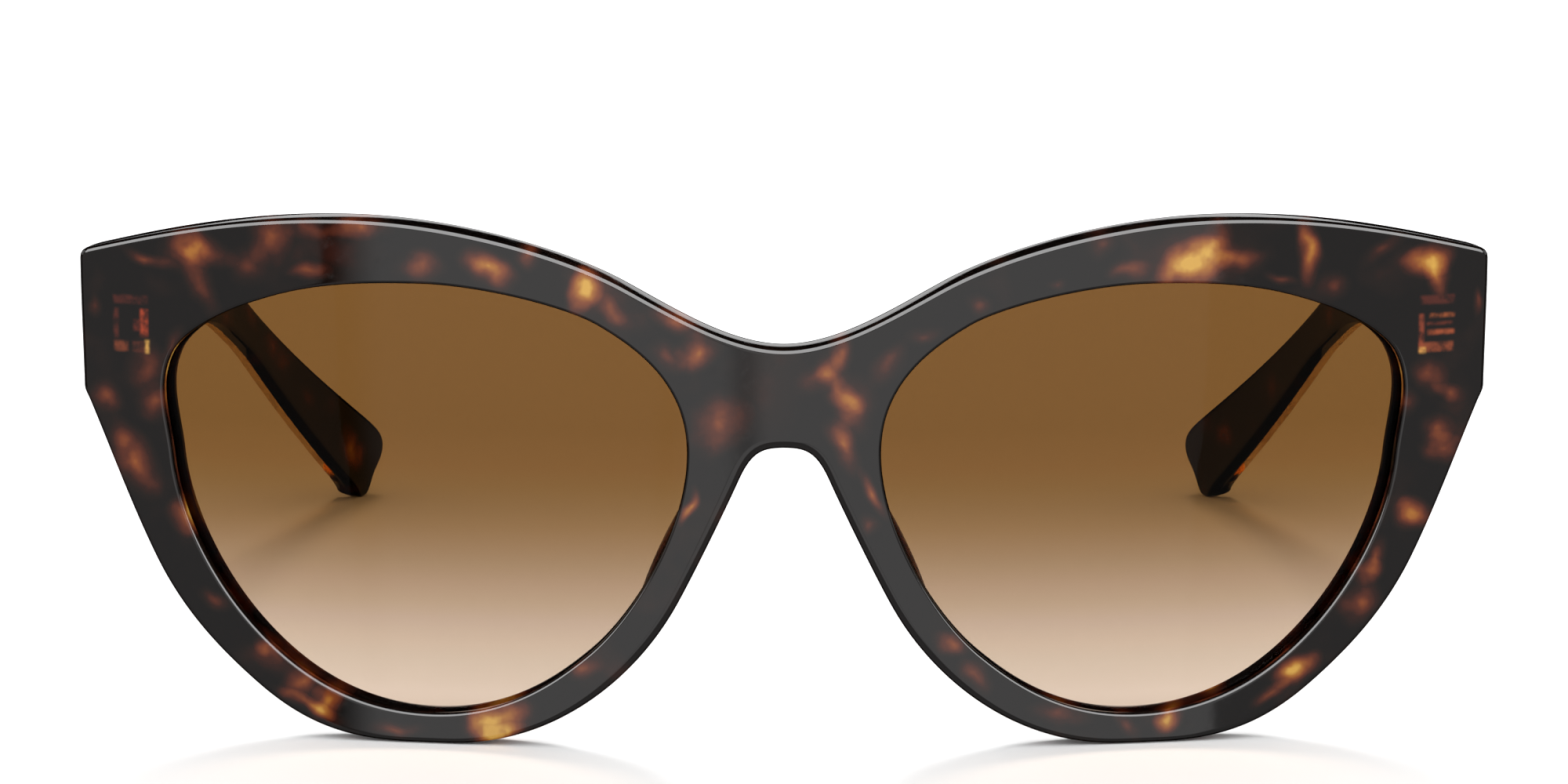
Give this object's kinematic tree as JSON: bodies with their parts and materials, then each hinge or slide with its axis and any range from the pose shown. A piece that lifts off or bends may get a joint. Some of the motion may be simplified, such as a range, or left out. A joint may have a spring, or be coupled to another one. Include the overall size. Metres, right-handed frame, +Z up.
{
  "type": "cat eye sunglasses",
  "caption": "Cat-eye sunglasses with a thick tortoiseshell acetate front, gradient brown lenses and folding laminated temples with gold trim at the tips.",
  "frame": {"origin": "middle of the open glasses' footprint, on the surface that the two lower rims and the two temple tips stand on", "axes": "+X to the wearer's left, +Y back along the temples towards the ears, +Z up; the front faces -Y"},
  "size_m": [0.1454, 0.1398, 0.0547],
  "materials": {
    "tortoise_acetate": "polished dark tortoiseshell with amber and red-brown clouds",
    "temple_acetate": "polished dark tortoiseshell, fewer and redder clouds",
    "pad_acetate": "satin dark acetate",
    "clear_acetate": "polished transparent light brown",
    "gradient_lens": "clear tinted lens, brown fading to pale rose at the bottom",
    "hinge_metal": "bright nickel silver",
    "screw_metal": "bright steel",
    "gold_trim": "polished pale gold"
  },
  "bodies": {
    "front_frame": {"front": "tortoise_acetate", "lens_left": "gradient_lens", "lens_right": "gradient_lens", "nose_pad_left": "pad_acetate", "nose_pad_right": "pad_acetate", "front_hinge_left": "hinge_metal", "front_hinge_right": "hinge_metal", "hinge_screw_left": "screw_metal", "hinge_screw_right": "screw_metal"},
    "left_temple": {"temple_left": "temple_acetate", "temple_sheet_left": "clear_acetate", "core_wire_left": "gold_trim", "temple_hinge_left": "hinge_metal", "trim_ring_upper_left": "gold_trim", "trim_spacer_left": "clear_acetate", "trim_ring_lower_left": "gold_trim", "tip_block_left": "temple_acetate"},
    "right_temple": {"temple_right": "temple_acetate", "temple_sheet_right": "clear_acetate", "core_wire_right": "gold_trim", "temple_hinge_right": "hinge_metal", "trim_ring_upper_right": "gold_trim", "trim_spacer_right": "clear_acetate", "trim_ring_lower_right": "gold_trim", "tip_block_right": "temple_acetate"}
  },
  "joints": [
    {"name": "left_temple_fold", "type": "hinge", "parent": "front_frame", "child": "left_temple", "pos_m": [0.0663, -0.05318, 0.0426], "axis": [0, 0, 1], "range_deg": [0, 82]},
    {"name": "right_temple_fold", "type": "hinge", "parent": "front_frame", "child": "right_temple", "pos_m": [-0.0663, -0.05318, 0.0426], "axis": [0, 0, -1], "range_deg": [0, 77]}
  ]
}
